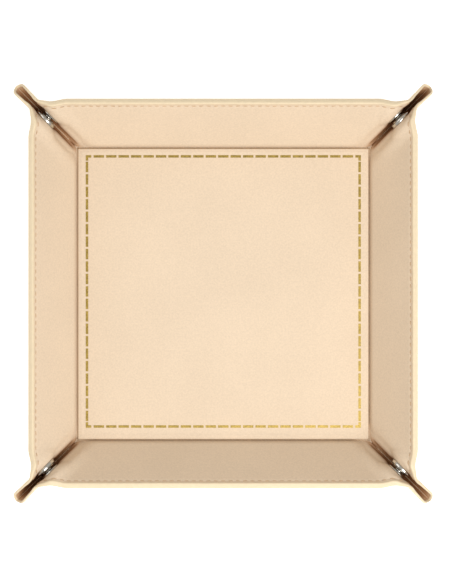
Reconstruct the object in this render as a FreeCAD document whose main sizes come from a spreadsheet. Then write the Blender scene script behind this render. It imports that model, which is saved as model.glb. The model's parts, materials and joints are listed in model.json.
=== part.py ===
"""Folding dice tray: a square leatherette sheet whose four walls fold up and snap at the corners.

Axes: +Z up, origin on the table under the middle of the floor, front wall at -Y. Millimetres.
Each wall is drawn flat, as on the cutting table, with X along the wall and Y out from the floor.
Its Placement then folds it up, and turns it to its own side of the tray.
An ear is half of the corner square, folded out along its crease until it faces the other half.
"""
import FreeCAD
import Part

import math
import os

from FreeCAD import Placement, Rotation, Vector

os.makedirs("parts", exist_ok=True)
doc = FreeCAD.newDocument("dice_tray")

DIMENSIONS = {
    "floor_side": 164.0,  # floor between its creases
    "wall_run": 38.0,  # crease to rim along the wall
    "lean": 54.0,  # wall from the table, degrees
    "cover_skin": 1.0,  # leatherette outside
    "board_core": 2.0,  # greyboard stiffener
    "lining_skin": 0.8,  # microfibre lining
    "rim_turn": 1.0,  # cover turned up round the rim
    "crease_gap": 0.3,  # cover from the crease line
    "lining_gap": 1.8,  # lining from the crease line
    "board_inset": 1.0,  # board inside the lining's edge
    "board_start": 5.0,  # wall's board from the crease line
    "board_flare": 8.0,  # board past the floor corner at the rim
    "ear_gap": 0.6,  # sheets from the ear crease
    "ear_half": 2.7,  # ear sheet from the corner's middle plane
    "ear_start": 2.0,  # ear sheet begins this far up the wall
    "fold_strip": 3.3,  # ear sheet from the diagonal, along the wall
    "corner_round": 12.0,
    "snap_along": 26.7,  # snap centre along the diagonal
    "snap_off": 9.5,  # snap centre from the diagonal
    "pad_radius": 7.0,  # sheet pressed flat round the snap
    "pad_room": 8.0,  # room in the wall round the pad
    "barrel_hole": 1.8,
    "barrel": 1.5,
    "cap_radius": 6.2,
    "cap_rim": 0.6,
    "cap_crown": 0.8,
    "roll_depth": 0.5,  # barrel's rolled end inside stud or socket
    "stud_radius": 5.8,
    "stud_flange": 0.7,
    "post_radius": 2.1,
    "post_height": 2.1,
    "post_head": 2.3,
    "head_height": 0.7,
    "socket_radius": 6.3,
    "socket_height": 2.8,
    "mouth_radius": 2.9,
    "mouth_depth": 2.2,
    "spring_radius": 3.2,
    "spring_wire": 0.25,
    "groove_radius": 3.6,
    "groove_height": 0.8,
    "groove_depth": 1.0,
    "stitch_inset": 2.6,  # stitch line below the rim
    "stitch_length": 2.9,
    "stitch_pitch": 4.1,
    "thread": 0.45,
    "thread_proud": 0.2,
    "foil_width": 152.0,
    "foil_depth": 150.6,
    "foil_shift": 1.4,  # border sits this far behind the middle
    "dash": 5.8,
    "dash_pitch": 6.94,
    "dash_broad": 1.4,
    "angle_arm": 3.1,  # each arm of the foil's corner angles
    "foil": 0.05,
}

sheet = doc.addObject("Spreadsheet::Sheet", "dims")
for row, (alias, value) in enumerate(DIMENSIONS.items(), start=1):
    sheet.set(f"A{row}", alias)
    sheet.set(f"B{row}", str(value))
    sheet.setAlias(f"B{row}", alias)
doc.recompute()

D = {alias: float(getattr(sheet, alias)) for alias in DIMENSIONS}
HALF = D["floor_side"] / 2
LEAN = math.radians(D["lean"])
# The ear crease is where the leaning wall crosses a plane beside the corner's middle plane.
CREASE_SLANT = math.degrees(math.atan(math.cos(LEAN)))
EAR_FOLD = math.degrees(math.acos(math.sin(LEAN) / math.sqrt(2)))
CREASE_SHIFT = D["ear_half"] * math.sqrt(2)
STACK = "(dims.cover_skin + dims.board_core + dims.lining_skin)"
# Crease and diagonal as lengths along the wall, measured from its middle, at a height y up it.
CREASE_X = "(dims.floor_side / 2 - dims.ear_half * sqrt(2) + ({y}) * cos(dims.lean))"
DIAGONAL_X = "(dims.floor_side / 2 - dims.fold_strip + ({y}))"
SNAP_X = HALF + (D["snap_along"] - D["snap_off"]) / math.sqrt(2)
SNAP_Y = HALF + (D["snap_along"] + D["snap_off"]) / math.sqrt(2)

SIDES = {"back": 0, "left": 90, "front": 180, "right": 270}  # turn of each wall about Z
# The corner at each end of a wall: the +X end first, then the -X end, in the wall's own axes.
ENDS = {
    "back": ("right", "left"),
    "left": ("back", "front"),
    "front": ("left", "right"),
    "right": ("front", "back"),
}
SOCKET_WALLS = ("left", "right")  # studs are on the front and back walls
sub_parts = {}


def bind(item, **expressions):
    """Ties properties of an object to expressions on the sheet."""
    for prop, expression in expressions.items():
        item.setExpression(prop.replace("__", "."), expression)
    return item


def block(name, length, width, height, x="0", y="0", z="0"):
    """A box with its low corner at x, y, z."""
    item = doc.addObject("Part::Box", name)
    bind(item, Length=length, Width=width, Height=height)
    return bind(item, Placement__Base__x=x, Placement__Base__y=y, Placement__Base__z=z)


def centred(name, length, width, height, x="0", y="0", z="0"):
    """A box centred on x and y, standing on z."""
    return block(name, length, width, height, f"{x} - ({length}) / 2", f"{y} - ({width}) / 2", z)


def disc(name, radius, height, x="0", y="0", z="0"):
    """A cylinder standing on z."""
    item = doc.addObject("Part::Cylinder", name)
    bind(item, Radius=radius, Height=height)
    return bind(item, Placement__Base__x=x, Placement__Base__y=y, Placement__Base__z=z)


def taper(name, low_x, high_x, low_z, high_z):
    """A flat slab between two heights up the wall. low_x and high_x are (y, left, right)."""
    item = doc.addObject("Part::Wedge", name)
    bind(item, Ymin=low_x[0], Xmin=low_x[1], Xmax=low_x[2], Zmin=low_z, Z2min=low_z)
    return bind(item, Ymax=high_x[0], X2min=high_x[1], X2max=high_x[2], Zmax=high_z, Z2max=high_z)


def joined(name, *shapes):
    item = doc.addObject("Part::MultiFuse", name)
    item.Shapes = list(shapes)
    return item


def cut(name, base, *tools):
    tool = tools[0] if len(tools) == 1 else joined(name + "_tools", *tools)
    item = doc.addObject("Part::Cut", name)
    item.Base = base
    item.Tool = tool
    return item


def grouped(name, shapes):
    item = doc.addObject("Part::Compound", name)
    item.Links = shapes
    return item


def sub_part(name, item, place=None):
    """Labels a finished piece, puts it in place and lists it for export."""
    item.Label = name
    if place is not None:
        item.Placement = place.multiply(item.Placement)
    sub_parts[name] = item
    return item


def about(point, axis, degrees):
    """The placement that turns things about an axis through a point."""
    return Placement(Vector(0, 0, 0), Rotation(Vector(*axis), degrees), Vector(*point))


def wall_place(side):
    """From the flat drawing to the raised wall: folded up on its crease, then turned to its side."""
    turn = Placement(Vector(0, 0, 0), Rotation(Vector(0, 0, 1), SIDES[side]))
    return turn.multiply(about((0, HALF, D["cover_skin"]), (1, 0, 0), D["lean"]))


def ear_fold(hand):
    """The fold of the ear at the wall's +X end (hand 1) or -X end (hand -1), on the flat drawing."""
    slant = math.radians(CREASE_SLANT)
    axis = (hand * math.sin(slant), math.cos(slant), 0)
    point = (hand * (HALF - CREASE_SHIFT), HALF, D["cover_skin"])
    return about(point, axis, hand * EAR_FOLD)


def ear_place(side, hand):
    """From the flat drawing to the folded ear on its raised wall."""
    return wall_place(side).multiply(ear_fold(hand))


def mirrored(low, high, hand):
    """The two x limits of a slab, swapped and negated for the wall's -X end."""
    return (low, high) if hand > 0 else (f"-({high})", f"-({low})")


def snap_x(hand):
    return f"{hand} * (dims.floor_side / 2 + (dims.snap_along - dims.snap_off) / sqrt(2))"


SNAP_Y_TEXT = "dims.floor_side / 2 + (dims.snap_along + dims.snap_off) / sqrt(2)"


def wall_slab(name, start, stop, inset, low_z, high_z):
    """A slab across the whole wall, from start to stop up it, inset from both ear creases."""
    edges = []
    for height in (start, stop):
        reach = CREASE_X.format(y=height) + f" - dims.ear_gap / cos(dims.lean) - ({inset})"
        edges.append((f"dims.floor_side / 2 + ({height})", f"-({reach})", reach))
    return taper(name, edges[0], edges[1], low_z, high_z)


def pad_room(side):
    """Room for both ears' snap pads, flat and folded, cut out of the wall's sheets."""
    tools = []
    for hand in (1, -1):
        flat = disc(f"{side}_room", "dims.pad_room", "20", snap_x(hand), SNAP_Y_TEXT, "-10")
        tools.append(flat)
        folded = doc.addObject("Part::Cylinder", f"{side}_room_folded")
        bind(folded, Radius="dims.pad_room", Height="20")
        seat = Placement(Vector(hand * SNAP_X, SNAP_Y, -10), Rotation())
        folded.Placement = ear_fold(hand).multiply(seat)
        tools.append(folded)
    return tools


def base_parts():
    crease = "(dims.floor_side - 2 * dims.crease_gap)"
    lining = "(dims.floor_side - 2 * dims.lining_gap)"
    core = "(dims.floor_side - 2 * dims.lining_gap - 2 * dims.board_inset)"
    sub_part("base_cover", centred("base_cover", crease, crease, "dims.cover_skin"))
    board = centred("base_board", core, core, "dims.board_core", z="dims.cover_skin")
    sub_part("base_board", board)
    depth = "dims.board_core + dims.lining_skin"
    lid = centred("floor_lid", lining, lining, depth, z="dims.cover_skin")
    pocket = centred("floor_pocket", core, core, "dims.board_core", z="dims.cover_skin")
    sub_part("base_lining", cut("base_lining", lid, pocket))
    sub_part("foil_border", grouped("foil_border", foil_dashes()))


def foil_dashes():
    """A dashed border pressed on the floor lining, with a small angle of foil at each corner."""
    made = []
    for across in (True, False):
        span = D["foil_width"] if across else D["foil_depth"]
        count = round((span - D["dash"]) / D["dash_pitch"])
        for n in range(count):
            offset = f"{n - (count - 1) / 2} * dims.dash_pitch"
            for end in (1, -1):
                if across:
                    y = f"dims.foil_shift + {end} * dims.foil_depth / 2"
                    sizes = ("dims.dash", "dims.dash_broad")
                    made.append(centred("dash", *sizes, "dims.foil", offset, y, STACK))
                else:
                    x = f"{end} * dims.foil_width / 2"
                    sizes = ("dims.dash_broad", "dims.dash")
                    y = f"dims.foil_shift + {offset}"
                    made.append(centred("dash", *sizes, "dims.foil", x, y, STACK))
    for right in (1, -1):
        for back in (1, -1):
            x = f"{right} * dims.foil_width / 2"
            y = f"dims.foil_shift + {back} * dims.foil_depth / 2"
            back_off = "(dims.angle_arm - dims.dash_broad) / 2"
            mid_x = f"{right} * (dims.foil_width / 2 - {back_off})"
            mid_y = f"dims.foil_shift + {back} * (dims.foil_depth / 2 - {back_off})"
            bar = centred("angle", "dims.angle_arm", "dims.dash_broad", "dims.foil", mid_x, y, STACK)
            leg = centred("angle", "dims.dash_broad", "dims.angle_arm", "dims.foil", x, mid_y, STACK)
            made.append(joined("corner_angle", bar, leg))
    return made


def wall_parts(side):
    place = wall_place(side)
    rim = "dims.wall_run"
    inner_rim = "dims.wall_run - dims.rim_turn"
    outer = wall_slab("wall_outer", "dims.crease_gap", rim, "0", "0", STACK)
    hollow = wall_slab("wall_hollow", "-1", inner_rim, "-30", "dims.cover_skin", "10")
    cover = cut(f"{side}_cover", outer, hollow, *pad_room(side))
    sub_part(f"wall_{side}_cover", cover, place)

    start = "dims.lining_gap"
    lid = wall_slab("wall_lid", start, inner_rim, "0", "dims.cover_skin", STACK)
    top = "dims.cover_skin + dims.board_core"
    pocket = core_slab("wall_pocket", top)
    lining = cut(f"{side}_lining", lid, pocket, *pad_room(side))
    sub_part(f"wall_{side}_lining", lining, place)

    board = cut(f"{side}_board", core_slab("wall_core", top), *pad_room(side))
    sub_part(f"wall_{side}_board", board, place)
    sub_part(f"wall_{side}_stitching", grouped(f"{side}_stitching", stitches()), place)


def core_slab(name, top):
    """The wall's stiffener: it widens from the floor's corner to the rim."""
    low = "dims.board_start"
    high = "dims.wall_run - dims.rim_turn - dims.board_inset"
    foot = "dims.floor_side / 2 - dims.lining_gap - 2 * dims.board_inset"
    head = "dims.floor_side / 2 + dims.board_flare"
    near = (f"dims.floor_side / 2 + {low}", f"-({foot})", foot)
    far = (f"dims.floor_side / 2 + {high}", f"-({head})", head)
    return taper(name, near, far, "dims.cover_skin", top)


def stitches():
    """A row of thread just below the rim, on top of the lining."""
    reach = HALF + D["board_flare"] - D["stitch_length"]
    count = 2 * int(reach / D["stitch_pitch"]) + 1
    y = "dims.floor_side / 2 + dims.wall_run - dims.stitch_inset"
    sizes = ("dims.stitch_length", "dims.thread", "dims.thread_proud")
    places = [f"{n - (count - 1) // 2} * dims.stitch_pitch" for n in range(count)]
    return [centred("stitch", *sizes, x, y, STACK) for x in places]


def ear_sheet(name, hand, low_z, high_z):
    """Half the corner square, from its crease to near the diagonal, with the rounded tip."""
    edges = []
    for height in ("dims.ear_start", "dims.wall_run"):
        near = CREASE_X.format(y=height) + " + dims.ear_gap / cos(dims.lean)"
        limits = mirrored(near, DIAGONAL_X.format(y=height), hand)
        edges.append((f"dims.floor_side / 2 + {height}", *limits))
    blade = taper(name + "_blade", edges[0], edges[1], low_z, high_z)
    thick = f"({high_z}) - ({low_z})"
    centre = "dims.floor_side / 2 + dims.wall_run - dims.corner_round"
    square_x = f"{centre}" if hand > 0 else f"-({centre}) - 2 * dims.corner_round"
    room = "2 * dims.corner_round"
    square = block(name + "_square", room, room, thick, square_x, centre, low_z)
    arc = disc(name + "_arc", "dims.corner_round", thick, f"{hand} * ({centre})", centre, low_z)
    trimmed = cut(name + "_trimmed", blade, cut(name + "_corner", square, arc))
    pad = disc(name + "_pad", "dims.pad_radius", thick, snap_x(hand), SNAP_Y_TEXT, low_z)
    hole = disc(name + "_hole", "dims.barrel_hole", "20", snap_x(hand), SNAP_Y_TEXT, "-10")
    return cut(name, joined(name + "_solid", trimmed, pad), hole)


def ear_parts(side, end, hand):
    place = ear_place(side, hand)
    name = f"{side}_ear_{end}"
    cover = ear_sheet(name + "_skin", hand, "0", "dims.cover_skin")
    sub_part(name + "_cover", cover, place)
    top = "dims.cover_skin + dims.lining_skin"
    lining = ear_sheet(name + "_inside", hand, "dims.cover_skin", top)
    sub_part(name + "_lining", lining, place)


def snap_place(side, hand):
    """From a snap drawn about Z, with the lining's face at Z 0, to its seat on the ear."""
    face = D["cover_skin"] + D["lining_skin"]
    seat = Placement(Vector(hand * SNAP_X, SNAP_Y, face), Rotation())
    return ear_place(side, hand).multiply(seat)


def cap(name):
    """Domed cap on the outside, with the barrel that goes through the sheet and is rolled over."""
    skin = "(dims.cover_skin + dims.lining_skin)"
    rim = disc(name + "_rim", "dims.cap_radius", "dims.cap_rim", z=f"-{skin} - dims.cap_rim")
    crown = doc.addObject("Part::Cone", name + "_crown")
    bind(crown, Radius1="dims.cap_radius * 0.6", Radius2="dims.cap_radius", Height="dims.cap_crown")
    bind(crown, Placement__Base__z=f"-{skin} - dims.cap_rim - dims.cap_crown")
    barrel = disc(name + "_barrel", "dims.barrel", f"{skin} + dims.roll_depth", z=f"-{skin}")
    return joined(name, rim, crown, barrel)


def stud(name):
    """Flange with a mushroom post, and a recess for the barrel's rolled end."""
    flange = disc(name + "_flange", "dims.stud_radius", "dims.stud_flange")
    post = disc(name + "_post", "dims.post_radius", "dims.stud_flange + dims.post_height")
    level = "dims.stud_flange + dims.post_height - dims.head_height"
    head = disc(name + "_head", "dims.post_head", "dims.head_height", z=level)
    recess = disc(name + "_recess", "dims.barrel + 0.05", "dims.roll_depth + 0.05")
    return cut(name, joined(name + "_body", flange, post, head), recess)


def socket(name):
    """Drum whose mouth takes the post, with a groove for the ring spring."""
    drum = disc(name + "_drum", "dims.socket_radius", "dims.socket_height")
    floor = "dims.socket_height - dims.mouth_depth"
    mouth = disc(name + "_mouth", "dims.mouth_radius", "dims.mouth_depth", z=floor)
    level = "dims.socket_height - dims.groove_depth - dims.groove_height / 2"
    groove = disc(name + "_groove", "dims.groove_radius", "dims.groove_height", z=level)
    recess = disc(name + "_recess", "dims.barrel + 0.05", "dims.roll_depth + 0.05")
    return cut(name, drum, mouth, groove, recess)


def spring(name):
    """Ring spring that grips behind the post's head."""
    ring = doc.addObject("Part::Torus", name)
    return bind(ring, Radius1="dims.spring_radius", Radius2="dims.spring_wire")


def snap_parts(side, end, hand):
    place = snap_place(side, hand)
    front_back = side if side in ("front", "back") else end
    left_right = end if side in ("front", "back") else side
    corner = f"{front_back}_{left_right}"
    if side in SOCKET_WALLS:
        sub_part(f"{corner}_socket_cap", cap(f"{corner}_socket_cap"), place)
        sub_part(f"{corner}_socket", socket(f"{corner}_socket"), place)
        lift = Placement(Vector(0, 0, D["socket_height"] - D["groove_depth"]), Rotation())
        sub_part(f"{corner}_spring", spring(f"{corner}_spring"), place.multiply(lift))
    else:
        sub_part(f"{corner}_stud_cap", cap(f"{corner}_stud_cap"), place)
        sub_part(f"{corner}_stud", stud(f"{corner}_stud"), place)


base_parts()
for side, ends in ENDS.items():
    wall_parts(side)
    for end, hand in zip(ends, (1, -1)):
        ear_parts(side, end, hand)
        snap_parts(side, end, hand)

doc.recompute()
for item in doc.Objects:
    if "Invalid" in item.State or "Error" in item.State:
        raise RuntimeError(f"{item.Label} failed: {item.State}")
for name, item in sub_parts.items():
    if item.Shape.isNull() or not item.Shape.isValid():
        raise RuntimeError(f"{name} has no valid shape")
    item.Shape.exportStep(f"parts/{name}.step")
print(len(sub_parts), "sub-parts written")
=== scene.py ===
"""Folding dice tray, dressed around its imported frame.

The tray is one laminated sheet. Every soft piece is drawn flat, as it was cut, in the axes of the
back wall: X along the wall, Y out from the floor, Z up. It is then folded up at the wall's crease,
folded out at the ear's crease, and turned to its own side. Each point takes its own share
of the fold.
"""

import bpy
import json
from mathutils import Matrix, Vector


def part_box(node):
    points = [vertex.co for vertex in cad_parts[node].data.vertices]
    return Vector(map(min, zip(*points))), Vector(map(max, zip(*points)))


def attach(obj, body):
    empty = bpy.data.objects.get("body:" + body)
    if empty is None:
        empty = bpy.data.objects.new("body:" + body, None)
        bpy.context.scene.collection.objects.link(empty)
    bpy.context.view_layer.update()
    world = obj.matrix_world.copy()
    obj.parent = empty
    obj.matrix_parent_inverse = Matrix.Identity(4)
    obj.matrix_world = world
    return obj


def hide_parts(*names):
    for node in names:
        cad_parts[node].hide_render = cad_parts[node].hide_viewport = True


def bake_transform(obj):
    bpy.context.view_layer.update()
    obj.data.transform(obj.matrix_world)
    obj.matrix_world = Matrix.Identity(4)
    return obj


bl_info = {
    "name": "Folding Dice Tray",
    "version": (1, 0, 0),
    "blender": (4, 5, 0),
    "location": "View3D > Sidebar > Dice Tray",
    "description": "Builds a snap-up leatherette dice tray around its packed frame",
    "category": "Object",
}

import json
import math

import bmesh
import bpy
import numpy as np
from bpy.props import FloatProperty, PointerProperty, StringProperty
from mathutils import Matrix, Vector

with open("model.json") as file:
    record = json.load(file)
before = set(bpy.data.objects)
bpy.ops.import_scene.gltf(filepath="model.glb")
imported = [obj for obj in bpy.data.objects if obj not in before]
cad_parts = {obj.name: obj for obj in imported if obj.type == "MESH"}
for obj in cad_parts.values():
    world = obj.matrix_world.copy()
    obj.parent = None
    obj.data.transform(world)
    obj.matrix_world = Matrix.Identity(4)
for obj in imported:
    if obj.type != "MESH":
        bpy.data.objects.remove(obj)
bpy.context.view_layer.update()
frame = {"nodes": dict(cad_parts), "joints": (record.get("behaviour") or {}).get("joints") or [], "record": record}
JOINTS = {joint["name"]: joint for joint in frame["joints"]}
RATIOS = {c["joint"]: c["ratio"] for c in frame["record"]["behaviour"]["couplings"]}
MM = 0.001
SKIN = 0.02 * MM  # clearance between two layers that lie on each other

# Folds, read from the frame.
WALL_HINGE = Vector(JOINTS["back_wall_fold"]["pos_m"])
HALF = WALL_HINGE.y  # middle of the floor to a crease
REF = WALL_HINGE.z  # face between cover and lining, where the creases turn
LEAN = math.radians(JOINTS["front_wall_fold"]["range_deg"][1])
EAR_FOLD = LEAN * RATIOS["back_ear_right_fold"]
EAR_SLANT = math.atan(math.cos(LEAN))
EAR_HINGE_X = JOINTS["back_ear_right_fold"]["pos_m"][0]
FLOOR_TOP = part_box("base_lining")[1].z - REF

# Turn about Z, in degrees, that takes the back wall to each side.
SIDES = {"back": 0, "left": 90, "front": 180, "right": 270}
# Names of each wall's two ears: first the one that is at +X on the back wall.
ENDS = {
    "back": ("right", "left"),
    "left": ("back", "front"),
    "front": ("left", "right"),
    "right": ("front", "back"),
}
SOCKET_WALLS = ("left", "right")  # the other walls' ears carry the studs


def length(name, description, millimetres):
    """A length property whose default is given in millimetres."""
    return FloatProperty(
        name=name,
        description=description,
        default=millimetres * MM,
        min=0.0,
        unit="LENGTH",
        subtype="DISTANCE",
    )


def hex_colour(name, description, code):
    """A colour property, as sRGB hex."""
    return StringProperty(name=name, description=description, default=code)


class TraySheet(bpy.types.PropertyGroup):
    """Sizes of the laminated sheet."""

    wall_run: length("Wall run", "Crease to rim along the wall", 38)
    corner_round: length("Corner rounding", "Radius of the sheet's corners", 12.5)
    cover: length("Cover", "Thickness of the leatherette", 1.0)
    lining: length("Lining", "Thickness of the microfibre", 0.8)
    turned_edge: length("Turned edge", "Width of the cover turned in over the rim", 1.35)
    board_climb: length("Board climb", "Width over which the lining climbs the floor's board", 0.7)
    wall_climb: length("Wall climb", "Width over which the lining climbs the wall's board", 5.6)
    board_start: length("Board start", "Crease line to the wall's board", 5.0)
    board_stop: length("Board stop", "Wall's board to the rim", 2.0)
    board_fade: length("Board fade", "Ear's crease to where the lining is fully raised", 9.0)
    board_room: length("Board room", "Room in the board round the stud", 6.7)
    room_fade: length("Room fade", "Width over which the lining climbs out of that room", 2.8)
    dent: length("Dent", "How far the rim is drawn in beside the ears", 1.9)
    ridge: length("Ridge", "Puffed edge of the lining beside the floor's creases", 0.16)
    crease_half: length("Crease half", "Half the width of sheet that turns at a wall's crease", 1.5)
    tip_open: FloatProperty(
        name="Tip opening",
        description="Extra share of the ear's fold taken at its tip",
        default=0.045,
    )
    ear_thin: length("Ear thinning", "How much thinner the cover is at the rim of an ear", 0.4)
    ear_bend: length("Ear bend", "Half the width of sheet that turns at an ear's crease", 4.0)
    fold_radius: length("Fold radius", "Radius of the fold under the ear", 2.7)


class TraySnap(bpy.types.PropertyGroup):
    """Sizes and place of the press studs."""

    along: length("Along", "Corner of the floor to the stud, along the diagonal", 26.7)
    off: length("Off", "Diagonal to the stud", 9.5)
    flat_radius: length("Flat radius", "Sheet held flat round the stud", 5.4)
    fade: length("Fade", "Width over which the sheet leaves the flat", 5)
    press: length("Press", "How far the stud is pressed into the lining", 0.35)


class TrayStitch(bpy.types.PropertyGroup):
    """Sizes of the rim's stitching."""

    inset: length("Inset", "Rim to the stitch line", 2.6)
    pitch: length("Pitch", "One stitch to the next", 3.95)
    reach: length("Reach", "Length of thread that shows", 2.9)
    thread: length("Thread", "Thickness of the thread", 0.42)
    groove: length("Groove", "How far the stitches pull the lining down", 0.22)


class TrayColours(bpy.types.PropertyGroup):
    """Base colours as sRGB hex."""

    leatherette: hex_colour("Leatherette", "Cream cover", "DECCAC")
    microfibre: hex_colour("Microfibre", "Pinkish beige lining", "DDC9B0")
    thread: hex_colour("Thread", "Tone on tone thread", "C4A47E")
    foil: hex_colour("Foil", "Pale gold foil", "B0964F")
    nickel: hex_colour("Nickel", "Bright nickel", "C9C5BD")
    spring: hex_colour("Spring", "Drawn spring steel", "8F8E8C")
    greyboard: hex_colour("Greyboard", "Unbleached board", "9B8F7C")
    paper: hex_colour("Sweep", "Studio floor", "FFFFFF")


def sheet_sizes():
    return bpy.context.scene.tray_sheet


def snap_sizes():
    return bpy.context.scene.tray_snap


def stitch_sizes():
    return bpy.context.scene.tray_stitch


def colours():
    return bpy.context.scene.tray_colours


def linear(code):
    """sRGB hex to linear, with alpha."""
    parts = [int(code[i : i + 2], 16) / 255 for i in (0, 2, 4)]
    return [c / 12.92 if c <= 0.04045 else ((c + 0.055) / 1.055) ** 2.4 for c in parts] + [1.0]


# ---------------------------------------------------------------- folding


def smooth(t):
    """A smooth step from 0 to 1."""
    t = np.clip(t, 0.0, 1.0)
    return t * t * (3 - 2 * t)


def turned(points, pivot, axis, angle):
    """points turned about an axis through pivot, each by its own angle."""
    axis = np.array(axis, float) / np.linalg.norm(axis)
    arm = points - np.array(pivot, float)
    c = np.cos(angle)[..., None]
    s = np.sin(angle)[..., None]
    along = (arm @ axis)[..., None] * axis
    return np.array(pivot, float) + arm * c + np.cross(axis, arm) * s + along * (1 - c)


def raised(points, share):
    """Flat points folded up at the wall's crease, each by its share of the lean."""
    return turned(points, (0, HALF, REF), (1, 0, 0), share * LEAN)


EAR_PIVOT = (EAR_HINGE_X, HALF, REF)
EAR_AXIS = (math.sin(EAR_SLANT), math.cos(EAR_SLANT), 0.0)


def folded(points, share):
    """Flat points folded out at the ear's crease and then raised with the whole wall."""
    out = turned(points, EAR_PIVOT, EAR_AXIS, share * EAR_FOLD)
    return raised(out, np.ones(points.shape[:-1]))


def past_crease(x, y):
    """Distance from the ear's crease, positive on the ear's side."""
    return (x - EAR_HINGE_X) * math.cos(EAR_SLANT) - (y - HALF) * math.sin(EAR_SLANT)


def snap_spot():
    """Flat place of the press stud at the +X end of the back wall."""
    sizes = snap_sizes()
    return (
        HALF + (sizes.along - sizes.off) / math.sqrt(2),
        HALF + (sizes.along + sizes.off) / math.sqrt(2),
    )


WIDEST_SHARE = 1.9  # no point of the fold needs more of the ear's turn than this
HALVINGS = 32  # halves the search often enough for a share exact to nine digits


def fold_share(points):
    """Share of the ear's fold at the corner's diagonal, so that both halves meet in the middle."""
    along = (points[..., 0] + points[..., 1]) / 2
    on_fold = np.stack([along, along, points[..., 2]], axis=-1)
    low = np.zeros(along.shape)
    high = np.full(along.shape, WIDEST_SHARE)
    for _ in range(HALVINGS):
        middle = (low + high) / 2
        place = folded(on_fold, middle)
        crossed = place[..., 0] > place[..., 1]
        low = np.where(crossed, middle, low)
        high = np.where(crossed, high, middle)
    return np.where(along > HALF, low, 0.0)


CREASE_BEND = 0.16 * MM  # half the width that turns at the foot of an ear's crease
BEND_GROWTH = 0.463  # and how fast that half grows up the crease
TIP_REACH = 16 * MM  # stud's pad to where the tip is fully open
TIP_FADE = 8 * MM
FOOT_FADE = 4 * MM  # height over which the ear's fold starts above the wall's crease


def ear_share(points):
    """Share of the ear's fold at flat points of the wall's +X end."""
    sheet = sheet_sizes()
    snap = snap_sizes()
    x, y = points[..., 0], points[..., 1]
    up = y - HALF
    past = past_crease(x, y)
    half_bend = np.minimum(CREASE_BEND + BEND_GROWTH * np.maximum(up, 0), sheet.ear_bend) + 1e-6
    share = smooth((past + half_bend) / (2 * half_bend))
    distance = from_snap(x, y)
    held = smooth((snap.flat_radius + snap.fade - distance) / snap.fade)
    share = np.maximum(share, held)
    tip = smooth((distance - snap.flat_radius) / TIP_REACH) * smooth(past / TIP_FADE)
    share = share * (1 + sheet.tip_open * tip)
    share = share * smooth((up - sheet.crease_half) / FOOT_FADE)
    from_fold = (y - x) / math.sqrt(2)
    near = 1 - np.sin(np.minimum(from_fold / sheet.fold_radius, math.pi / 2))
    return share * (1 - near) + fold_share(points) * near


def ear_crease(y):
    """X of the ear's crease at a flat Y."""
    return EAR_HINGE_X + (y - HALF) * math.tan(EAR_SLANT)


def from_snap(x, y):
    """Distance from the middle of the nearer press stud."""
    spot = snap_spot()
    return np.hypot(np.abs(x) - spot[0], y - spot[1])


DENT_PLACE = 7 * MM  # ear's crease to the middle of the dent beside it
DENT_HALF = 9 * MM  # half the dent's width
DENT_FADE = 5 * MM  # stud's pad to the full dent


def dent_of(x, y):
    """How far the sheet is drawn inwards beside an ear, where the stud pulls it off the board."""
    sheet = sheet_sizes()
    up = np.maximum(y - HALF, 0)
    beside = smooth(1 - np.abs(np.abs(x) - ear_crease(up + HALF) + DENT_PLACE) / DENT_HALF)
    clear = from_snap(x, y) - snap_sizes().flat_radius
    return sheet.dent * beside * smooth(up / sheet.wall_run) * smooth(clear / DENT_FADE)


SKIVE_RUN = 8 * MM  # ear's crease to the fully skived cover
SKIVE_FADE = 6 * MM  # stud's pad to the fully skived cover


def cover_of(x, y):
    """Thickness of the cover, skived thin on an ear, clear of the stud."""
    sheet = sheet_sizes()
    clear = from_snap(x, y) - snap_sizes().flat_radius
    thin = smooth(past_crease(np.abs(x), y) / SKIVE_RUN) * smooth(clear / SKIVE_FADE)
    return sheet.cover - sheet.ear_thin * thin


PRESS_FADE = 3.5 * MM  # width over which the lining rises out of the stud's print
RIDGE_PLACE = 3.1 * MM  # crease line to the top of the ridge on the floor
RIDGE_HALF = 1.3 * MM
SLACK = 0.06 * MM  # height of the lining's slow waves over a wall's board


def slack_of(x, y):
    """Slow waves of the lining, 66 mm long along the wall and 45 mm long up it."""
    return SLACK * np.sin(x * 95 + 1.3) * np.sin(y * 140 + x * 31)


def top_of(x, y):
    """Height of the lining's face above the creases' level, at flat points of a wall's sector."""
    sheet = sheet_sizes()
    up = y - HALF
    width = np.where(up > 0, sheet.wall_climb, sheet.board_climb)
    climb = smooth(np.abs(up) / width)
    fade = smooth((ear_crease(y) - np.abs(x)) / sheet.board_fade)
    clear = from_snap(x, y) - sheet.board_room
    fade = np.where(up > 0, fade * smooth(clear / sheet.room_fade), 1.0)
    board = FLOOR_TOP - sheet.lining
    ridge = sheet.ridge * smooth(1 - np.abs(up + RIDGE_PLACE) / RIDGE_HALF)
    on_wall = np.where(up > 0, 1.0, 0.0)
    pressed = snap_sizes().press * smooth(1 - clear / PRESS_FADE)
    face = sheet.lining + board * climb * fade + slack_of(x, y) * climb * on_wall + ridge
    return face + dent_of(x, y) - pressed * on_wall


# ---------------------------------------------------------------- meshes


def mark(piece, name, values):
    """Keeps a number for each point, for the material to read."""
    made = piece.data.attributes.new(name, "FLOAT", "POINT")
    made.data.foreach_set("value", np.asarray(values, np.float32))


def new_piece(name, points, faces, material):
    """A smooth-shaded mesh object, sharp only along real edges."""
    mesh = bpy.data.meshes.new(name)
    mesh.from_pydata([tuple(p) for p in points], [], faces)
    mesh.validate()
    mesh.polygons.foreach_set("use_smooth", [True] * len(mesh.polygons))
    mesh.set_sharp_from_angle(angle=math.radians(50))
    mesh.materials.append(material)
    piece = bpy.data.objects.new(name, mesh)
    bpy.context.scene.collection.objects.link(piece)
    return piece


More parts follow.
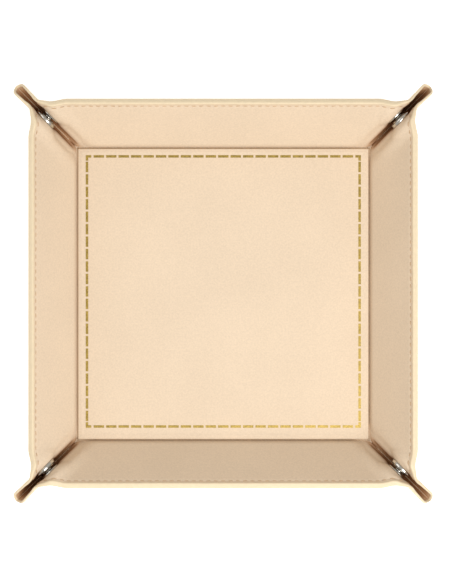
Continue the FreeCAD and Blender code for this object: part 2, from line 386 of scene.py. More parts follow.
def slab_faces(rows, columns, flip):
    """Faces of a closed slab: an upper grid, a lower grid after it, and the edge between them."""
    count = rows * columns
    faces = []
    for r in range(rows - 1):
        for c in range(columns - 1):
            a, b = r * columns + c, r * columns + c + 1
            d, e = a + columns, b + columns
            faces.append((a, b, e, d))
            faces.append((a + count, d + count, e + count, b + count))
    ring = list(range(columns))
    ring += [r * columns + columns - 1 for r in range(1, rows)]
    ring += [(rows - 1) * columns + c for c in range(columns - 2, -1, -1)]
    ring += [r * columns for r in range(rows - 2, 0, -1)]
    for a, b in zip(ring, ring[1:] + ring[:1]):
        faces.append((b, a, a + count, b + count))
    return [face[::-1] for face in faces] if flip else faces


def to_side(points, side):
    """Points of the back wall turned about Z to another side."""
    turn = math.radians(SIDES[side])
    c, s = round(math.cos(turn)), round(math.sin(turn))
    x, y, z = points[:, 0], points[:, 1], points[:, 2]
    return np.stack([x * c - y * s, x * s + y * c, z], axis=-1)


PINCH_FADE = 4 * MM  # width over which the lining's painted shade grows past an ear's crease


def slab(name, upper, lower, shares, fold, side, material, hand=1):
    """A closed slab from flat grids, folded up and turned to its side, with its shares.

    An ear's points also keep how far they are into the pinch, which masks the painted shade in the lining's
    colour.
    """
    rows, columns = upper.shape[:2]
    flat = np.concatenate([upper.reshape(-1, 3), lower.reshape(-1, 3)])
    share = shares(flat)
    place = fold(flat, share)
    if hand < 0:
        place = place * np.array([-1, 1, 1])
    faces = slab_faces(rows, columns, hand < 0)
    piece = new_piece(name, to_side(place, side), faces, material)
    if fold is folded:
        depth = past_crease(flat[:, 0], flat[:, 1]) / PINCH_FADE
        mark(piece, "pinch", smooth(depth + 0.6))
    return piece, share


def cut_from(grid):
    flat = grid[..., :2]
    size = np.ptp(flat.reshape(-1, 2), axis=0)
    one = flat[1:, 1:] - flat[:-1, :-1]
    other = flat[1:, :-1] - flat[:-1, 1:]
    area = np.abs(one[..., 0] * other[..., 1] - one[..., 1] * other[..., 0]).sum() / 2
    area = min(float(area), float(size[0] * size[1]))


def blend(piece):
    """Bakes the piece's transform into its mesh."""
    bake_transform(piece)


# ---------------------------------------------------------------- outlines

SPLIT = 4.0 * MM  # the ear's piece starts this far short of the floor's corner
STRIP = 9.0 * MM  # the crease's piece starts this far inside the crease
WALL_STEP = 2.5 * MM  # one column to the next along a wall
EAR_STEP = 0.9 * MM  # and round an ear
SEAM_OVERLAP = 0.15 * MM  # the two halves of an ear run this far past the fold between them


def rim_point(run):
    """Point and inward direction at a length along half the rim, from the wall's middle."""
    sheet = sheet_sizes()
    rim = HALF + sheet.wall_run
    centre = rim - sheet.corner_round
    if run <= centre:
        return np.array([run, rim]), np.array([0.0, -1.0])
    angle = (run - centre) / sheet.corner_round
    out = np.array([math.sin(angle), math.cos(angle)])
    return np.array([centre, centre]) + out * sheet.corner_round, -out


def rim_end():
    """Run along the rim at which it meets the corner's diagonal."""
    sheet = sheet_sizes()
    return HALF + sheet.wall_run - sheet.corner_round * (1 - math.pi / 4)


def foot_point(run):
    """Foot of the column that ends at the rim's run: columns fan out round the floor's corner."""
    start = HALF - SPLIT
    level = HALF + sheet_sizes().crease_half
    if run <= start:
        return np.array([run, level])
    t = (run - start) / (rim_end() - start)
    reach = level - start
    return np.array([start + reach * (1 - (1 - t) ** 2), level])


def column(run, rises, insets):
    """Flat (x, y) points of a column: shares of the way to the rim zone, then rim insets."""
    edge, inward = rim_point(run)
    foot = foot_point(run)
    zone = edge + inward * insets[0]
    points = [foot + (zone - foot) * rise for rise in rises]
    points += [edge + inward * inset for inset in insets[1:]]
    overlap = SEAM_OVERLAP if run >= rim_end() else 0.0
    return np.array(points) + (overlap, -overlap)


# Shares of a column's length from the crease to the rim zone, close together at its foot.
WALL_RISES = [0, 0.012, 0.026, 0.042, 0.062, 0.09] + [0.12 + 0.88 * i / 34 for i in range(35)]


def runs_of(low, high, step):
    """Runs along the rim, evenly spaced, at about this step."""
    count = max(2, int(round((high - low) / step)) + 1)
    return np.linspace(low, high, count)


# Lining beside the stitch line: (millimetres inwards from it, share of the groove's depth).
GROOVE_SECTION = [(1.6, 0), (0.9, 0), (0.45, 0.4), (0, 1), (-0.45, 0.4), (-0.9, 0)]
LINING_EDGE_DROP = 0.15 * MM  # the lining's edge dips under the turned-in cover


def lining_grids(runs):
    """Upper and lower face of the lining, flat, from the crease to the turned-in cover."""
    sheet = sheet_sizes()
    stitch = stitch_sizes()
    insets = [stitch.inset + distance * MM for distance, _ in GROOVE_SECTION]
    insets += [sheet.turned_edge + 0.1 * MM, sheet.turned_edge]
    flat = np.stack([column(run, WALL_RISES, insets) for run in runs])
    top = top_of(flat[..., 0], flat[..., 1])
    bottom = top - sheet.lining
    for n, (_, depth) in enumerate(GROOVE_SECTION):
        top[:, len(WALL_RISES) - 1 + n] -= stitch.groove * depth
    top[:, -1] -= LINING_EDGE_DROP
    upper = np.dstack([flat, top[..., None] + REF])
    lower = np.dstack([flat, bottom[..., None] + REF])
    return upper, lower


# The cover's rim in section, for its outer face and then its inner face. Each is the inset in
# millimetres, the share of the lining's height and the millimetres added to it. Where the share
# is 0 the outer face is under the sheet, and its last number is a share of the cover's thickness.
RIM_SECTION = [
    ((2.2, 0, -1.0), (2.4, 0, -0.02)),
    ((1.2, 0, -1.0), (1.9, 0, -0.02)),
    ((0.6, 0, -0.88), (1.6, 0, 0.0)),
    ((0.2, 0, -0.55), (1.5, 0, 0.02)),
    ((0.02, 0, -0.1), (1.5, 0, 0.06)),
    ((0.0, 0.5, 0.0), (1.5, 0.4, 0.0)),
    ((0.04, 1, -0.75), (1.45, 0.8, -0.1)),
    ((0.2, 1, -0.3), (1.42, 1, -0.5)),
    ((0.5, 1, -0.02), (1.42, 1, -0.42)),
    ((0.9, 1, 0.08), (1.42, 1, -0.34)),
    ((1.25, 1, 0.02), (1.42, 1, -0.28)),
    ((1.38, 1, -0.14), (1.42, 1, -0.22)),
]
RIM_TOP_INSET = 1.4 * MM  # where the lining's height at the rim is taken


def cover_grids(runs):
    """Inner and outer face of the cover, flat, from the crease round the rim to its turned edge."""
    outer = np.stack([column(run, WALL_RISES, [o[0] * MM for o, _ in RIM_SECTION]) for run in runs])
    inner = np.stack([column(run, WALL_RISES, [i[0] * MM for _, i in RIM_SECTION]) for run in runs])
    thickness = cover_of(outer[..., 0], outer[..., 1])
    outer_z = dent_of(outer[..., 0], outer[..., 1]) - thickness
    inner_z = dent_of(inner[..., 0], inner[..., 1]) - SKIN
    edge = np.array([rim_point(run)[0] + rim_point(run)[1] * RIM_TOP_INSET for run in runs])
    drawn_in = dent_of(edge[:, 0], edge[:, 1])
    height = top_of(edge[:, 0], edge[:, 1]) - drawn_in
    for n, (o, i) in enumerate(RIM_SECTION, len(WALL_RISES) - 1):
        unit = thickness[:, -1] if o[1] == 0 else MM
        outer_z[:, n] = drawn_in + height * o[1] + o[2] * unit
        inner_z[:, n] = drawn_in + height * i[1] + i[2] * MM
    upper = np.dstack([inner, inner_z[..., None] + REF])
    lower = np.dstack([outer, outer_z[..., None] + REF])
    return upper, lower


def crease_grids(thickness=None):
    """The strip that turns at a wall's crease, mitred at both ends.

    It is the cover's strip when a thickness is given, and otherwise the lining's. Its rows are
    close together over the last 5 mm, and its columns are close together at the mitres.
    """
    sheet = sheet_sizes()
    plain = [HALF - STRIP, HALF - 7 * MM]
    rows = np.concatenate([plain, np.linspace(HALF - 5 * MM, HALF + sheet.crease_half, 23)])
    corner = np.linspace(0.9, 1, 14)
    spread = np.concatenate([-corner[::-1], np.linspace(-0.89, 0.89, 60), corner])
    y, s = np.meshgrid(rows, spread)
    x = s * y
    if thickness is None:
        top = top_of(x, y)
        bottom = top - sheet.lining
    else:
        top = np.full(x.shape, -SKIN)
        bottom = np.full(x.shape, -thickness)
    upper = np.dstack([x, y, top + REF])
    lower = np.dstack([x, y, bottom + REF])
    return upper, lower


# ---------------------------------------------------------------- materials


def node(tree, kind, links=None, stops=(), **settings):
    """Adds a node.

    settings set its properties or sockets, links maps its sockets to other nodes' outputs, and
    stops are a colour ramp's (position, linear colour), lowest first.
    """
    made = tree.nodes.new(kind)
    for key, value in settings.items():
        if hasattr(made, key):
            setattr(made, key, value)
        else:
            made.inputs[key.replace("_", " ")].default_value = value
    for n, (position, value) in enumerate(stops):
        ramp = made.color_ramp.elements
        stop = ramp[n] if n < 2 else ramp.new(position)
        stop.position = position
        stop.color = value
    for key, source in (links or {}).items():
        tree.links.new(source, made.inputs[key])
    return made


def material(name, **sockets):
    """A new material with a Principled shader whose own sockets are set."""
    made = bpy.data.materials.new(name)
    made.use_nodes = True
    tree = made.node_tree
    tree.nodes.clear()
    shader = node(tree, "ShaderNodeBsdfPrincipled", **sockets)
    node(tree, "ShaderNodeOutputMaterial", {"Surface": shader.outputs["BSDF"]}, location=(300, 0))
    coords = node(tree, "ShaderNodeTexCoord")
    return made, tree, shader, coords.outputs["Object"]


def shade(code, factor):
    """A hex colour as linear values, times a factor."""
    values = linear(code)
    return [min(1.0, c * factor) for c in values[:3]] + [1.0]


def per_metre(millimetres):
    """Scale of a pattern whose features are this size."""
    return 1.0 / (millimetres * MM)


WHITE = "FFFFFF"


def microfibre():
    """Brushed microfibre: a dull, even nap with a faint fleck and slow cloudy changes of tone.

    Deep in the pinch of an ear, painted shade from ambient occlusion darkens it to the brown of
    light that has bounced between its faces.
    """
    code = colours().microfibre
    made, tree, shader, where = material(
        "brushed_microfibre", Roughness=0.95, IOR=1.46, Specular_IOR_Level=0.2
    )
    fleck = node(tree, "ShaderNodeTexNoise", {"Vector": where}, Scale=per_metre(0.9), Detail=3.0)
    fleck_stops = ((0.3, shade(code, 0.93)), (0.7, shade(code, 1.04)))
    fleck = node(tree, "ShaderNodeValToRGB", {"Fac": fleck.outputs["Fac"]}, fleck_stops)
    cloud = node(tree, "ShaderNodeTexNoise", {"Vector": where}, Scale=per_metre(45), Detail=2.0)
    cloud_stops = ((0.3, shade(WHITE, 0.955)), (0.7, shade(WHITE, 1)))
    cloud = node(tree, "ShaderNodeValToRGB", {"Fac": cloud.outputs["Fac"]}, cloud_stops)
    cloth = node(
        tree,
        "ShaderNodeMix",
        {"A": fleck.outputs["Color"], "B": cloud.outputs["Color"]},
        data_type="RGBA",
        blend_type="MULTIPLY",
        Factor=1.0,
    )
    # Painted shade: ambient occlusion, through a ramp, darkens the lining to brown where the pinch mask is set.
    painted_shade = node(tree, "ShaderNodeAmbientOcclusion", Distance=30 * MM)
    painted_shade_stops = (
        (0.04, linear("9A6C48")),
        (0.25, linear("C9A585")),
        (0.6, linear("F2E9E0")),
        (0.95, linear(WHITE)),
    )
    painted_shade = node(tree, "ShaderNodeValToRGB", {"Fac": painted_shade.outputs["AO"]}, painted_shade_stops)
    pinch = node(tree, "ShaderNodeAttribute", attribute_name="pinch")
    pinch_shaded = node(
        tree,
        "ShaderNodeMix",
        {"A": cloth.outputs["Result"], "B": painted_shade.outputs["Color"], "Factor": pinch.outputs["Fac"]},
        data_type="RGBA",
        blend_type="MULTIPLY",
    )
    tree.links.new(pinch_shaded.outputs["Result"], shader.inputs["Base Color"])
    nap = node(tree, "ShaderNodeTexNoise", {"Vector": where}, Scale=per_metre(0.55), Detail=4.0)
    bump = node(
        tree, "ShaderNodeBump", {"Height": nap.outputs["Fac"]}, Strength=0.35, Distance=0.00012
    )
    tree.links.new(bump.outputs["Normal"], shader.inputs["Normal"])
    return made


def leatherette():
    """Polyurethane leatherette with an embossed fine grain: satin, with soft rounded cells."""
    code = colours().leatherette
    made, tree, shader, where = material(
        "polyurethane_leatherette", IOR=1.5, Specular_IOR_Level=0.45
    )
    grain = node(tree, "ShaderNodeTexNoise", {"Vector": where}, Scale=per_metre(2.5), Detail=3.0)
    tone_stops = ((0.3, shade(code, 0.96)), (0.7, shade(code, 1.02)))
    tone = node(tree, "ShaderNodeValToRGB", {"Fac": grain.outputs["Fac"]}, tone_stops)
    tree.links.new(tone.outputs["Color"], shader.inputs["Base Color"])
    gloss = node(
        tree, "ShaderNodeMapRange", {"Value": grain.outputs["Fac"]}, To_Min=0.42, To_Max=0.58
    )
    tree.links.new(gloss.outputs["Result"], shader.inputs["Roughness"])
    cells = node(tree, "ShaderNodeTexVoronoi", {"Vector": where}, Scale=per_metre(0.8))
    bump = node(
        tree, "ShaderNodeBump", {"Height": cells.outputs["Distance"]}, Strength=0.3, Distance=0.0001
    )
    tree.links.new(bump.outputs["Normal"], shader.inputs["Normal"])
    return made


def sewing_thread():
    """Spun polyester thread: dull and twisted, with painted shade where it dives into its needle holes."""
    code = colours().thread
    made, tree, shader, where = material("spun_polyester_thread", Roughness=0.75, IOR=1.5)
    twist = node(tree, "ShaderNodeTexNoise", {"Vector": where}, Scale=per_metre(0.4), Detail=2.0)
    tone_stops = ((0.3, shade(code, 0.85)), (0.7, shade(code, 1.08)))
    tone = node(tree, "ShaderNodeValToRGB", {"Fac": twist.outputs["Fac"]}, tone_stops)
    # Painted shade: the ends of each stitch are darkened to brown where they dive into the needle holes.
    dive = node(tree, "ShaderNodeAttribute", attribute_name="dive")
    hole_shade_stops = ((0.35, linear(WHITE)), (0.9, linear("6E4A2E")))
    hole = node(tree, "ShaderNodeValToRGB", {"Fac": dive.outputs["Fac"]}, hole_shade_stops)
    thread = node(
        tree,
        "ShaderNodeMix",
        {"A": tone.outputs["Color"], "B": hole.outputs["Color"]},
        data_type="RGBA",
        blend_type="MULTIPLY",
        Factor=1.0,
    )
    tree.links.new(thread.outputs["Result"], shader.inputs["Base Color"])
    bump = node(
        tree, "ShaderNodeBump", {"Height": twist.outputs["Fac"]}, Strength=0.4, Distance=0.0001
    )
    tree.links.new(bump.outputs["Normal"], shader.inputs["Normal"])
    return made


def foil():
    """Hot-stamped gold foil over a napped ground: metallic, broken up by the nap under it."""
    code = colours().foil
    made, tree, shader, where = material("hot_stamped_foil", Metallic=0.85)
    speck = node(tree, "ShaderNodeTexNoise", {"Vector": where}, Scale=per_metre(0.7), Detail=4.0)
    tone_stops = ((0.35, shade(code, 0.7)), (0.65, shade(code, 1.15)))
    tone = node(tree, "ShaderNodeValToRGB", {"Fac": speck.outputs["Fac"]}, tone_stops)
    tree.links.new(tone.outputs["Color"], shader.inputs["Base Color"])
    gloss = node(
        tree, "ShaderNodeMapRange", {"Value": speck.outputs["Fac"]}, To_Min=0.3, To_Max=0.55
    )
    tree.links.new(gloss.outputs["Result"], shader.inputs["Roughness"])
    bump = node(
        tree, "ShaderNodeBump", {"Height": speck.outputs["Fac"]}, Strength=0.5, Distance=0.0001
    )
    tree.links.new(bump.outputs["Normal"], shader.inputs["Normal"])
    return made


def nickel():
    """Bright nickel plate on pressed brass: mirror-like, slightly warm, with handling haze."""
    made, tree, shader, where = material(
        "bright_nickel_plate", Metallic=1.0, Base_Color=linear(colours().nickel)
    )
    haze = node(tree, "ShaderNodeTexNoise", {"Vector": where}, Scale=per_metre(3), Detail=3.0)
    gloss = node(
        tree, "ShaderNodeMapRange", {"Value": haze.outputs["Fac"]}, To_Min=0.12, To_Max=0.28
    )
    tree.links.new(gloss.outputs["Result"], shader.inputs["Roughness"])
    return made


def spring_wire():
    """Drawn spring steel: greyer than the plate, with fine drawing lines."""
    made, tree, shader, where = material(
        "drawn_spring_steel", Metallic=1.0, Base_Color=linear(colours().spring)
    )
    lines = node(tree, "ShaderNodeTexNoise", {"Vector": where}, Scale=per_metre(0.3), Detail=2.0)
    gloss = node(
        tree, "ShaderNodeMapRange", {"Value": lines.outputs["Fac"]}, To_Min=0.25, To_Max=0.45
    )
    tree.links.new(gloss.outputs["Result"], shader.inputs["Roughness"])
    return made


def greyboard():
    """Unbleached greyboard: dull pulp with darker fibre specks."""
    code = colours().greyboard
    made, tree, shader, where = material("unbleached_greyboard", Roughness=0.95, IOR=1.45)
    pulp = node(tree, "ShaderNodeTexNoise", {"Vector": where}, Scale=per_metre(1.2), Detail=5.0)
    tone_stops = ((0.35, shade(code, 0.8)), (0.65, shade(code, 1.1)))
    tone = node(tree, "ShaderNodeValToRGB", {"Fac": pulp.outputs["Fac"]}, tone_stops)
    tree.links.new(tone.outputs["Color"], shader.inputs["Base Color"])
    return made


FINISHES = {
    "microfibre": microfibre,
    "leatherette": leatherette,
    "thread": sewing_thread,
    "foil": foil,
    "nickel": nickel,
    "spring": spring_wire,
    "greyboard": greyboard,
}
made_materials = {}


def finish_of(name):
    """A finish's material, made the first time that it is asked for."""
    if name not in made_materials:
        made_materials[name] = FINISHES[name]()
    return made_materials[name]


# ---------------------------------------------------------------- pieces


def floor_grid(top, bottom, count=49):
    """A flat square slab that ends where the crease strips begin."""
    reach = HALF - STRIP
    line = np.linspace(-reach, reach, count)
    x, y = np.meshgrid(line, line, indexing="ij")
    upper = np.dstack([x, y, np.full(x.shape, top)])
    lower = np.dstack([x, y, np.full(x.shape, bottom)])
    return upper, lower


def unmoved(flat):
    """No share of the fold, for the floor."""
    return np.zeros(len(flat))


def crease_share(flat):
    """Share of the wall's fold that each point of its crease has taken."""
    half = sheet_sizes().crease_half
    return smooth((flat[:, 1] - HALF + half) / (2 * half))


def whole(flat):
    """The whole of the wall's fold, for its stiff part."""
    return np.ones(len(flat))


class TRAY_OT_floor(bpy.types.Operator):
    """Lining and cover of the floor"""

    bl_idname = "tray.floor"
    bl_label = "Floor"

    def execute(self, context):
        sheet = sheet_sizes()
        top = REF + FLOOR_TOP
        grids = floor_grid(top, top - sheet.lining)
        piece, _ = slab("lining_floor", *grids, unmoved, raised, "back", finish_of("microfibre"))
        cut_from(grids[0])
        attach(piece, "base")
        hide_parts("base_lining")
        grids = floor_grid(REF - SKIN, REF - sheet.cover)
        piece, _ = slab("cover_floor", *grids, unmoved, raised, "back", finish_of("leatherette"))
        cut_from(grids[0])
        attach(piece, "base")
        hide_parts("base_cover")
        return {"FINISHED"}


class TRAY_OT_creases(bpy.types.Operator):
    """Strips of lining and cover that turn at the walls' creases"""

    bl_idname = "tray.creases"
    bl_label = "Creases"

    def execute(self, context):
        for side in SIDES:
            for layer, finish, grids in (
                ("lining", "microfibre", crease_grids()),
                ("cover", "leatherette", crease_grids(sheet_sizes().cover)),
            ):
                name = f"{layer}_crease_{side}"
                piece, share = slab(name, *grids, crease_share, raised, side, finish_of(finish))
                cut_from(grids[0])
                blend(piece)
        return {"FINISHED"}


class TRAY_OT_walls(bpy.types.Operator):
    """Lining and cover of the four walls"""

    bl_idname = "tray.walls"
    bl_label = "Walls"

    def execute(self, context):
        start = HALF - SPLIT
        half = runs_of(0, start, WALL_STEP)
        for side in SIDES:
            for layer, finish, grids in (
                ("lining", "microfibre", lining_grids),
                ("cover", "leatherette", cover_grids),
            ):
                right = grids(half)
                grid = [np.concatenate([g[:0:-1] * (-1, 1, 1), g]) for g in right]
                name = f"{layer}_wall_{side}"
                piece, _ = slab(name, *grid, whole, raised, side, finish_of(finish))
                cut_from(grid[0])
                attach(piece, f"wall_{side}")
                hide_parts(f"wall_{side}_{layer}")
        return {"FINISHED"}


class TRAY_OT_ears(bpy.types.Operator):
    """Lining and cover of the eight ear halves"""

    bl_idname = "tray.ears"
    bl_label = "Ears"

    def execute(self, context):
        runs = runs_of(HALF - SPLIT, rim_end(), EAR_STEP)
        for side, ends in ENDS.items():
            for end, hand in zip(ends, (1, -1)):
                body = f"{side}_ear_{end}"
                for layer, finish, grids in (
                    ("lining", "microfibre", lining_grids),
                    ("cover", "leatherette", cover_grids),
                ):
                    name = f"{layer}_{body}"
                    grid = grids(runs)
                    piece, share = slab(
                        name, *grid, ear_share, folded, side, finish_of(finish), hand
                    )
                    cut_from(grid[0])
                    blend(piece)
                    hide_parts(f"{body}_{layer}")
        return {"FINISHED"}


def stitch_shape(rings=9, around=8):
    """Points and faces of a stitch along X, one long and one thick, whose ends dive down."""
    points = []
    for i in range(rings):
        t = -1 + 2 * i / (rings - 1)
        radius = 0.5 * math.sqrt(max(0.02, 1 - abs(t) ** 3))
        dip = -1.1 * abs(t) ** 4
        for n in range(around):
            angle = 2 * math.pi * n / around
            points.append((t / 2, radius * math.cos(angle), dip + radius * math.sin(angle)))
    faces = []
    for i in range(rings - 1):
        for n in range(around):
            m = (n + 1) % around
            a, b = i * around + n, i * around + m
            faces.append((a, b, b + around, a + around))
    faces.append(tuple(range(around))[::-1])
    faces.append(tuple((rings - 1) * around + n for n in range(around)))
    return np.array(points), faces


def dive_of(count):
    """How far each point of a run of stitches is into its needle hole, from 0 to 1."""
    shape, _ = stitch_shape()
    return np.tile(np.abs(shape[:, 0] * 2) ** 3, count // len(shape))


SEAM_CLEAR = 1.5 * MM  # the stitches stop this far short of the fold under an ear
SKEW = 0.12  # most that a stitch leans off the stitch line, as a slope
PROUD = 0.3  # how far a thread's middle lies above the groove, in thicknesses


def stitch_run(low, high):
    """Flat points and faces of the stitches whose middles lie between two runs of the rim."""
    stitch = stitch_sizes()
    shape, shape_faces = stitch_shape()
    points, faces = [], []
    count = int(rim_end() / stitch.pitch)
    for n in range(-count, count + 1):
        run = n * stitch.pitch
        if not low <= run < high:
            continue
        edge, inward = rim_point(abs(run))
        middle = edge + inward * stitch.inset
        along = np.array([-inward[1], inward[0]])
        if run < 0:
            middle, along = middle * (-1, 1), along * (1, -1)
        along = along + np.array([along[1], -along[0]]) * SKEW * math.sin(n * 2.4)
        across = np.array([-along[1], along[0]])
        level = top_of(np.array(middle[0]), np.array(middle[1])) - stitch.groove + REF
        local = shape * (stitch.reach, stitch.thread, stitch.thread)
        flat = middle + local[:, :1] * along + local[:, 1:2] * across
        height = level + PROUD * stitch.thread + local[:, 2]
        base = sum(len(p) for p in points)
        points.append(np.column_stack([flat, height]))
        faces += [tuple(i + base for i in face) for face in shape_faces]
    return np.concatenate(points), faces


BOARD_END = 0.45  # the board stops this share of the lining's fade short of the ear's crease
BOARD_LEAST = 0.05 * MM  # thickness that the chamfered ends keep


def board_grids():
    """The wall's stiffener, chamfered towards its ends so that the lining comes off it smoothly."""
    sheet = sheet_sizes()
    rows = np.linspace(HALF + sheet.board_start, HALF + sheet.wall_run - sheet.board_stop, 24)
    y, s = np.meshgrid(rows, np.linspace(-1, 1, 81))
    spot = snap_spot()
    room = snap_sizes().flat_radius + snap_sizes().fade
    clear = spot[0] - np.sqrt(np.maximum(room**2 - (y - spot[1]) ** 2, 0))
    x = s * np.minimum(ear_crease(y) - sheet.board_fade * BOARD_END, clear)
    bottom = dent_of(x, y) + SKIN / 2
    top = np.maximum(top_of(x, y) - sheet.lining - SKIN * 1.5, bottom + BOARD_LEAST)
    upper = np.dstack([x, y, top + REF])
    lower = np.dstack([x, y, bottom + REF])
    return upper, lower


class TRAY_OT_boards(bpy.types.Operator):
    """Stiffeners inside the walls"""

    bl_idname = "tray.boards"
    bl_label = "Wall boards"

    def execute(self, context):
        for side in SIDES:
            name = f"board_wall_{side}"
            piece, _ = slab(name, *board_grids(), whole, raised, side, finish_of("greyboard"))
            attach(piece, f"wall_{side}")
            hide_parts(f"wall_{side}_board")
        return {"FINISHED"}


class TRAY_OT_stitching(bpy.types.Operator):
    """Stitches round the rim, on the walls and on the ears"""

    bl_idname = "tray.stitching"
    bl_label = "Stitching"

    def execute(self, context):
        start = HALF - SPLIT
        for side, ends in ENDS.items():
            flat, faces = stitch_run(-start, start)
            place = to_side(raised(flat, np.ones(len(flat))), side)
            piece = new_piece(f"stitches_wall_{side}", place, faces, finish_of("thread"))
            mark(piece, "dive", dive_of(len(flat)))
            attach(piece, f"wall_{side}")
            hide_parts(f"wall_{side}_stitching")
            for end, hand in zip(ends, (1, -1)):
                body = f"{side}_ear_{end}"
                flat, faces = stitch_run(start, rim_end() - SEAM_CLEAR)
                share = ear_share(flat)
                place = folded(flat, share) * (hand, 1, 1)
                if hand < 0:
                    faces = [face[::-1] for face in faces]
                place = to_side(place, side)
                piece = new_piece(f"stitches_{body}", place, faces, finish_of("thread"))
                mark(piece, "dive", dive_of(len(flat)))
                blend(piece)
        return {"FINISHED"}


def lathe(name, profile, material_of, closed=False, steps=64):
    """A turned piece about Z. profile is (radius, height) in millimetres, from axis to axis."""
    points, faces = [], []
    count = len(profile)
    for i in range(steps):
        angle = 2 * math.pi * i / steps
        c, s = math.cos(angle) * MM, math.sin(angle) * MM
        points += [(radius * c, radius * s, height * MM) for radius, height in profile]
    last = count if closed else count - 1
    for i in range(steps):
        j = (i + 1) % steps
        for k in range(last):
            m = (k + 1) % count
            faces.append((i * count + k, j * count + k, j * count + m, i * count + m))
    piece = new_piece(name, points, faces, material_of)
    merge(piece)
    return piece


def merge(piece):
    """Joins the points that lie on the axis and turns every face outwards."""
    work = bmesh.new()
    work.from_mesh(piece.data)
    bmesh.ops.remove_doubles(work, verts=work.verts, dist=1e-7)
    bmesh.ops.recalc_face_normals(work, faces=work.faces)
    work.to_mesh(piece.data)
    work.free()
    piece.data.set_sharp_from_angle(angle=math.radians(35))


def snap_matrix(side, hand):
    """From a press stud drawn about Z, with the lining's face at Z 0, to its seat on the ear."""
    x, y = snap_spot()
    face = REF + sheet_sizes().lining
    seat = np.array([[x, y, face], [x + MM, y, face], [x, y + MM, face], [x, y, face + MM]])
    place = folded(seat, np.ones(4))
    if hand < 0:
        place = place * (-1, 1, 1)
        place[1] = 2 * place[0] - place[1]
    place = to_side(place, side)
    origin = Vector(place[0])
    axes = [(Vector(p) - origin) / MM for p in place[1:]]
    matrix = Matrix.Identity(4)
    for column_index, axis in enumerate(axes):
        matrix.col[column_index][:3] = axis
    matrix.translation = origin
    return matrix


# Half sections of the press stud's pieces as (radius, height) in millimetres, from axis to axis,
# with the lining's face at height 0.
CAP = [
    (0, -3.2), (1.6, -3.17), (3.2, -3.05), (4.6, -2.82), (5.5, -2.5), (6.05, -2.15),
    (6.2, -1.95), (6.12, -1.83), (5.8, -1.8), (1.5, -1.8), (1.5, 0.1), (0, 0.1),
]
STUD = [
    (0, 0.55), (1.55, 0.55), (1.55, 0), (5.2, 0), (5.6, 0.1), (5.8, 0.35), (5.7, 0.65),
    (5.4, 0.8), (5.15, 0.72), (5.0, 0.5), (3.4, 0.5), (2.7, 0.62), (2.3, 0.9), (2.1, 1.4),
    (2.12, 2.0), (2.3, 2.3), (2.25, 2.6), (1.9, 2.8), (0, 2.85),
]
SOCKET = [
    (0, 0.55), (1.55, 0.55), (1.55, 0), (5.7, 0), (6.15, 0.12), (6.3, 0.4), (6.3, 1.35),
    (6.15, 1.7), (5.8, 1.88), (5.3, 1.85), (4.85, 1.7), (4.65, 1.9), (4.5, 2.4), (4.2, 2.65),
    (3.8, 2.75), (3.4, 2.8), (3.0, 2.7), (2.9, 2.3), (3.5, 2.1), (3.6, 1.8), (3.5, 1.45),
    (2.95, 1.3), (2.9, 0.65), (0, 0.62),
]


def spring_profile(ring=3.2, level=1.8, wire=0.25, steps=12):
    """Section of the ring spring's round wire."""
    angles = [2 * math.pi * i / steps for i in range(steps)]
    return [(ring + wire * math.cos(a), level + wire * math.sin(a)) for a in angles]


class TRAY_OT_snaps(bpy.types.Operator):
    """Caps, studs, sockets and ring springs of the four press studs"""

    bl_idname = "tray.snaps"
    bl_label = "Press studs"

    def execute(self, context):
        for side, ends in ENDS.items():
            for end, hand in zip(ends, (1, -1)):
                front_back, left_right = (side, end) if side in ("front", "back") else (end, side)
                corner = f"{front_back}_{left_right}"
                if side in SOCKET_WALLS:
                    makes = {"socket_cap": CAP, "socket": SOCKET, "spring": spring_profile()}
                else:
                    makes = {"stud_cap": CAP, "stud": STUD}
                for part, profile in makes.items():
                    finish = finish_of("spring" if part == "spring" else "nickel")
                    piece = lathe(f"snap_{corner}_{part}", profile, finish, part == "spring")
                    sink = 0.0 if part.endswith("cap") else snap_sizes().press
                    piece.matrix_world = snap_matrix(side, hand) @ Matrix.Translation((0, 0, -sink))
                    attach(piece, f"{side}_ear_{end}")
                    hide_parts(f"{corner}_{part}")
        return {"FINISHED"}


# Solids of the frame that stay in view, and their finishes.
KEPT_NODES = {"foil_border": "foil", "base_board": "greyboard"}


class TRAY_OT_frame_finishes(bpy.types.Operator):
    """Materials of the floor's board and the foil border"""

    bl_idname = "tray.frame_finishes"
    bl_label = "Boards and foil"

    def execute(self, context):
        for name, finish in KEPT_NODES.items():
            materials = frame["nodes"][name].data.materials
            materials.clear()
            materials.append(finish_of(finish))
        return {"FINISHED"}


CAMERA = (0.0015, -0.0065, 0.750)  # metres, almost straight above the floor's middle
LENS = 82.5  # millimetres, on a 36 mm sensor
LENS_SHIFT = 0.0233  # share of the frame's longer side
WARM_WHITE = (1.0, 0.965, 0.92, 1.0)
SWEEP_GLOW = 0.45  # a sweep lit from below, so that it stays white round the tray
WORLD_LIGHT = 0.57

# Lamps: place and size in metres, power in watts.
LAMPS = {
    "key": ((0.38, -0.5, 0.94), 0.7, 10.2),
    "fill": ((-0.7, 0.3, 0.7), 0.9, 2.2),
}


def area_light(name, place, size, power):
    """A round soft lamp that points at the floor's middle."""
    lamp = bpy.data.lights.new(name, "AREA")
    lamp.shape = "DISK"
    lamp.size = size
    lamp.energy = power
    item = bpy.data.objects.new(name, lamp)
    item.location = place
    item.rotation_euler = (-Vector(place)).to_track_quat("-Z", "Y").to_euler()
    bpy.context.scene.collection.objects.link(item)


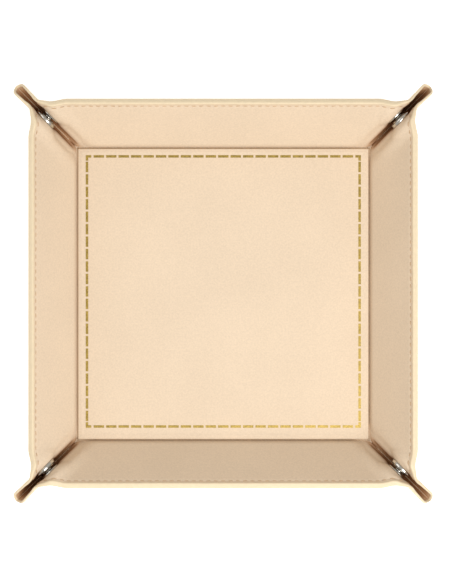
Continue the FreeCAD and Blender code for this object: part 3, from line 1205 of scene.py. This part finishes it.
class TRAY_OT_stage(bpy.types.Operator):
    """Studio sweep, lamps and the camera straight above"""

    bl_idname = "tray.stage"
    bl_label = "Stage"

    def execute(self, context):
        scene = context.scene
        bpy.ops.mesh.primitive_plane_add(size=6.0, location=(0, 0, -0.0002))
        sweep = context.object
        sweep.name = "studio_sweep"
        paper, *_ = material(
            "matt_white_paper",
            Roughness=0.9,
            IOR=1.4,
            Base_Color=linear(colours().paper),
            Emission_Color=linear(WHITE),
            Emission_Strength=SWEEP_GLOW,
        )
        sweep.data.materials.append(paper)
        world = bpy.data.worlds.new("studio")
        world.use_nodes = True
        background = world.node_tree.nodes["Background"]
        background.inputs["Color"].default_value = WARM_WHITE
        background.inputs["Strength"].default_value = WORLD_LIGHT
        scene.world = world
        for name, (place, size, power) in LAMPS.items():
            area_light(name, place, size, power)
        lens = bpy.data.cameras.new("overhead")
        lens.lens = LENS
        lens.sensor_width = 36.0
        lens.shift_y = LENS_SHIFT
        camera = bpy.data.objects.new("overhead", lens)
        camera.location = CAMERA
        scene.collection.objects.link(camera)
        scene.camera = camera
        scene.view_settings.view_transform = "Standard"
        return {"FINISHED"}


class TRAY_PT_panel(bpy.types.Panel):
    """Steps that build the tray"""

    bl_idname = "TRAY_PT_panel"
    bl_label = "Folding Dice Tray"
    bl_space_type = "VIEW_3D"
    bl_region_type = "UI"
    bl_category = "Dice Tray"

    def draw(self, context):
        for step in STEPS:
            self.layout.operator(step.bl_idname)


STEPS = (
    TRAY_OT_stage,
    TRAY_OT_floor,
    TRAY_OT_creases,
    TRAY_OT_walls,
    TRAY_OT_ears,
    TRAY_OT_boards,
    TRAY_OT_stitching,
    TRAY_OT_snaps,
    TRAY_OT_frame_finishes,
)
GROUPS = {
    "tray_sheet": TraySheet,
    "tray_snap": TraySnap,
    "tray_stitch": TrayStitch,
    "tray_colours": TrayColours,
}


def register():
    for name, group in GROUPS.items():
        bpy.utils.register_class(group)
        setattr(bpy.types.Scene, name, PointerProperty(type=group))
    for step in STEPS:
        bpy.utils.register_class(step)
    bpy.utils.register_class(TRAY_PT_panel)


def unregister():
    bpy.utils.unregister_class(TRAY_PT_panel)
    for step in reversed(STEPS):
        bpy.utils.unregister_class(step)
    for name, group in reversed(GROUPS.items()):
        delattr(bpy.types.Scene, name)
        bpy.utils.unregister_class(group)


def main():
    """Builds the tray step by step."""
    register()
    for step in STEPS:
        group, action = step.bl_idname.split(".")
        getattr(getattr(bpy.ops, group), action)()


if __name__ == "__main__":
    main()
